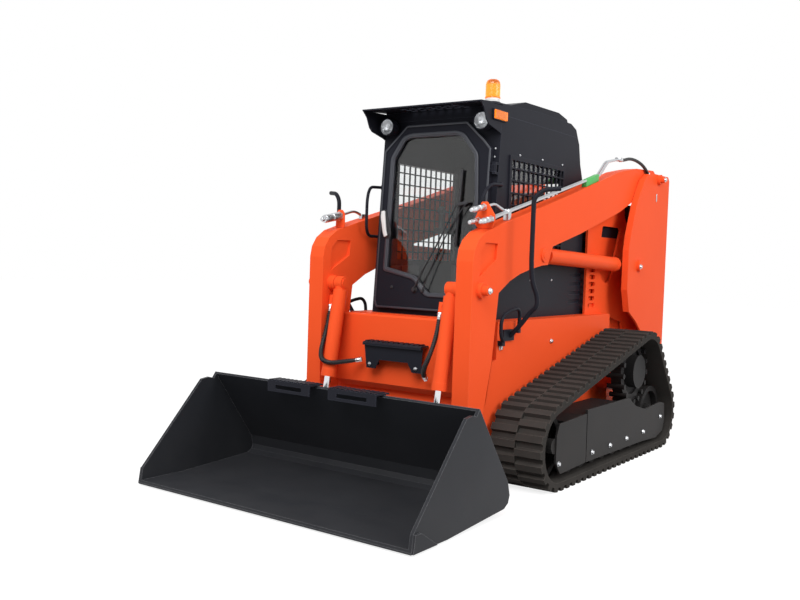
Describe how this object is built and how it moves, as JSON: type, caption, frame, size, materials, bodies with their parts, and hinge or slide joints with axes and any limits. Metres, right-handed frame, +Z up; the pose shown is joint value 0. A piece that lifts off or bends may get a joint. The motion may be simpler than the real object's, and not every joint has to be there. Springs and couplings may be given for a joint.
{
  "type": "compact track loader",
  "caption": "Compact machine on rubber tracks with an enclosed cab, a lifting boom with two arms and a tilting bucket in front.",
  "frame": {"origin": "on the ground, halfway between the tracks' outer faces and halfway along the machine's whole length with the bucket down", "axes": "+Z up; the bucket end faces -Y; +X is the machine's own left side"},
  "size_m": [1.9, 4.021, 2.4549],
  "materials": {
    "orange": "gloss paint",
    "black_paint": "satin paint",
    "bucket_paint": "worn satin paint",
    "track_rubber": "matt",
    "charcoal": "painted",
    "chrome": "polished",
    "steel": "zinc plated",
    "hose": "matt",
    "glass": "tinted",
    "seat_cover": "soft",
    "interior": "moulded",
    "amber": "clear",
    "lamp": "clear",
    "engine": "painted"
  },
  "bodies": {
    "machine": {"chassis_tub": "orange", "engine_block": "engine", "engine_cover": "black_paint", "tower_left": "orange", "tower_right": "orange", "track_left": "track_rubber", "track_right": "track_rubber", "track_frame_left": "charcoal", "track_frame_right": "charcoal", "wheels_left": "charcoal", "wheels_right": "charcoal", "cab_shell": "black_paint", "cab_roof": "black_paint", "work_lamps": "lamp", "marker_lights": "amber", "cab_glass": "glass", "window_guards": "black_paint", "seat_base": "interior", "seat": "seat_cover", "controls": "interior", "roof_unit": "black_paint", "beacon": "amber", "handrails": "black_paint", "mirror_arms": "black_paint"},
    "boom": {"boom_arms": "orange", "boom_cross": "orange", "front_step": "black_paint", "boom_pipes": "steel", "boom_hose": "hose"},
    "bucket": {"bucket": "bucket_paint", "bucket_coupler": "black_paint", "bucket_steps": "black_paint"},
    "cab_door": {"cab_door": "black_paint", "door_glass": "glass", "door_fittings": "interior"},
    "rear_door": {"rear_door": "orange"},
    "lift_barrel_left": {"lift_barrel_left": "orange"},
    "lift_rod_left": {"lift_rod_left": "chrome"},
    "tilt_barrel_left": {"tilt_barrel_left": "orange", "tilt_hose_left": "hose"},
    "tilt_rod_left": {"tilt_rod_left": "chrome"},
    "lift_barrel_right": {"lift_barrel_right": "orange"},
    "lift_rod_right": {"lift_rod_right": "chrome"},
    "tilt_barrel_right": {"tilt_barrel_right": "orange", "tilt_hose_right": "hose"},
    "tilt_rod_right": {"tilt_rod_right": "chrome"}
  },
  "joints": [
    {"name": "boom_lift", "type": "hinge", "parent": "machine", "child": "boom", "pos_m": [0, 1.744, 2.029], "axis": [-1, 0, 0], "range_deg": [0, 54]},
    {"name": "bucket_tilt", "type": "hinge", "parent": "boom", "child": "bucket", "pos_m": [0, -0.925, 0.245], "axis": [-1, 0, 0], "range_deg": [-94, 28]},
    {"name": "cab_door_hinge", "type": "hinge", "parent": "machine", "child": "cab_door", "pos_m": [0.426, -0.54695, 0.9788], "axis": [0, 0.0682, 0.9977], "range_deg": [0, 70]},
    {"name": "rear_door_hinge", "type": "hinge", "parent": "machine", "child": "rear_door", "pos_m": [0.455, 2.004, 1.07], "axis": [0, 0, -1], "range_deg": [0, 100]},
    {"name": "lift_barrel_left_pivot", "type": "hinge", "parent": "boom", "child": "lift_barrel_left", "pos_m": [0.543, -0.118, 1.388], "axis": [-1, 0, 0], "range_deg": [-0.361, 0.007]},
    {"name": "lift_rod_left_slide", "type": "slide", "parent": "lift_barrel_left", "child": "lift_rod_left", "axis": [0, 0.9995, -0.0313], "range_m": [0, 0.7195]},
    {"name": "tilt_barrel_left_pivot", "type": "hinge", "parent": "boom", "child": "tilt_barrel_left", "pos_m": [0.41, -0.895, 1.169], "axis": [-1, 0, 0], "range_deg": [-2.41, 0.76]},
    {"name": "tilt_rod_left_slide", "type": "slide", "parent": "tilt_barrel_left", "child": "tilt_rod_left", "axis": [0, -0.174, -0.9847], "range_m": [-0.0606, 0.1919]},
    {"name": "lift_barrel_right_pivot", "type": "hinge", "parent": "boom", "child": "lift_barrel_right", "pos_m": [-0.543, -0.118, 1.388], "axis": [-1, 0, 0], "range_deg": [-0.361, 0.007]},
    {"name": "lift_rod_right_slide", "type": "slide", "parent": "lift_barrel_right", "child": "lift_rod_right", "axis": [0, 0.9995, -0.0313], "range_m": [0, 0.7195]},
    {"name": "tilt_barrel_right_pivot", "type": "hinge", "parent": "boom", "child": "tilt_barrel_right", "pos_m": [-0.41, -0.895, 1.169], "axis": [-1, 0, 0], "range_deg": [-2.41, 0.76]},
    {"name": "tilt_rod_right_slide", "type": "slide", "parent": "tilt_barrel_right", "child": "tilt_rod_right", "axis": [0, -0.174, -0.9847], "range_m": [-0.0606, 0.1919]}
  ],
  "couplings": [
    {"joint": "lift_barrel_left_pivot", "follows": "boom_lift", "ratio": -0.006553},
    {"joint": "lift_rod_left_slide", "follows": "boom_lift", "m_per_rad": 0.74843},
    {"joint": "tilt_barrel_left_pivot", "follows": "bucket_tilt", "ratio": 0.025},
    {"joint": "tilt_rod_left_slide", "follows": "bucket_tilt", "m_per_rad": -0.114},
    {"joint": "lift_barrel_right_pivot", "follows": "boom_lift", "ratio": -0.006553},
    {"joint": "lift_rod_right_slide", "follows": "boom_lift", "m_per_rad": 0.74843},
    {"joint": "tilt_barrel_right_pivot", "follows": "bucket_tilt", "ratio": 0.025},
    {"joint": "tilt_rod_right_slide", "follows": "bucket_tilt", "m_per_rad": -0.114}
  ]
}
